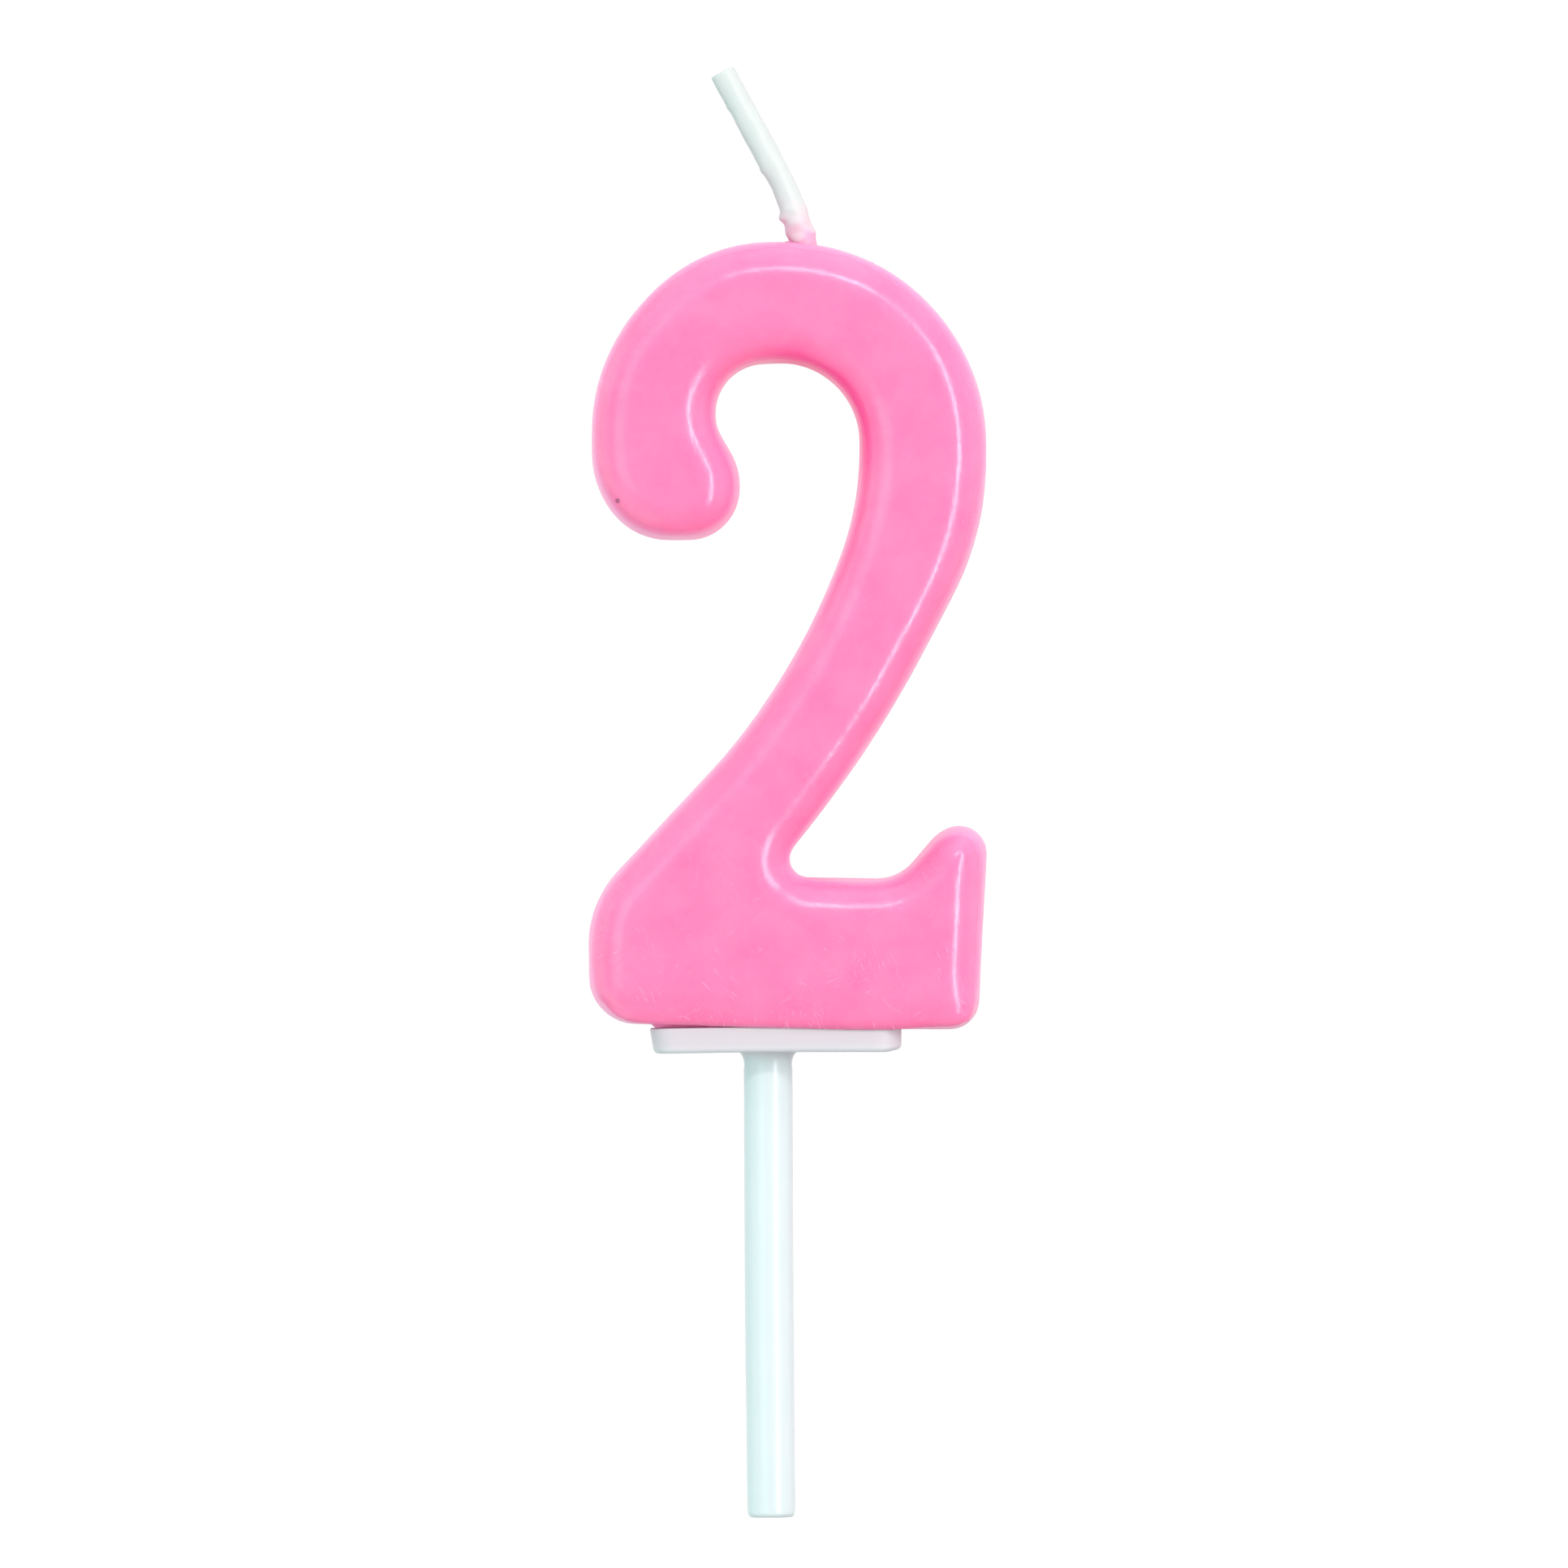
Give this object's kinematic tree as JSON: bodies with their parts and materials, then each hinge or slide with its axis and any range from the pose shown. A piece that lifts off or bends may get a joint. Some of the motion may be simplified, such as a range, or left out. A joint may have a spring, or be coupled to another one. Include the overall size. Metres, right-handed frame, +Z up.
{
  "type": "number birthday candle",
  "caption": "Wax numeral two with a primed cotton wick, standing on a plastic pick whose stem goes into a cake and whose plate rests on the icing.",
  "frame": {"origin": "on the stem's axis at the underside of the plate, where the candle stops on the icing", "axes": "+X to the right as the numeral is read, +Y from the front face into the flat back, +Z up the stem towards the wick"},
  "size_m": [0.0254, 0.0086, 0.0919],
  "materials": {
    "numeral_wax": "satin pink paraffin wax",
    "pick_polypropylene": "satin white moulded polypropylene",
    "wick_cotton": "bleached braided cotton",
    "wick_priming_wax": "white priming wax"
  },
  "bodies": {
    "pick": {"pick": "pick_polypropylene"},
    "numeral": {"numeral_body": "numeral_wax", "wick_cord_embedded": "wick_cotton", "wick_coating_embedded": "wick_priming_wax"},
    "wick": {"wick_cord_tip": "wick_cotton", "wick_coating_tip": "wick_priming_wax"}
  },
  "joints": [
    {"name": "numeral_pull_off", "type": "slide", "parent": "pick", "child": "numeral", "axis": [0, 0, 1], "range_m": [0, 0.012]},
    {"name": "wick_bend", "type": "hinge", "parent": "numeral", "child": "wick", "pos_m": [0.00141, 0, 0.05415], "axis": [0, 1, 0], "range_deg": [-60, 75]}
  ]
}
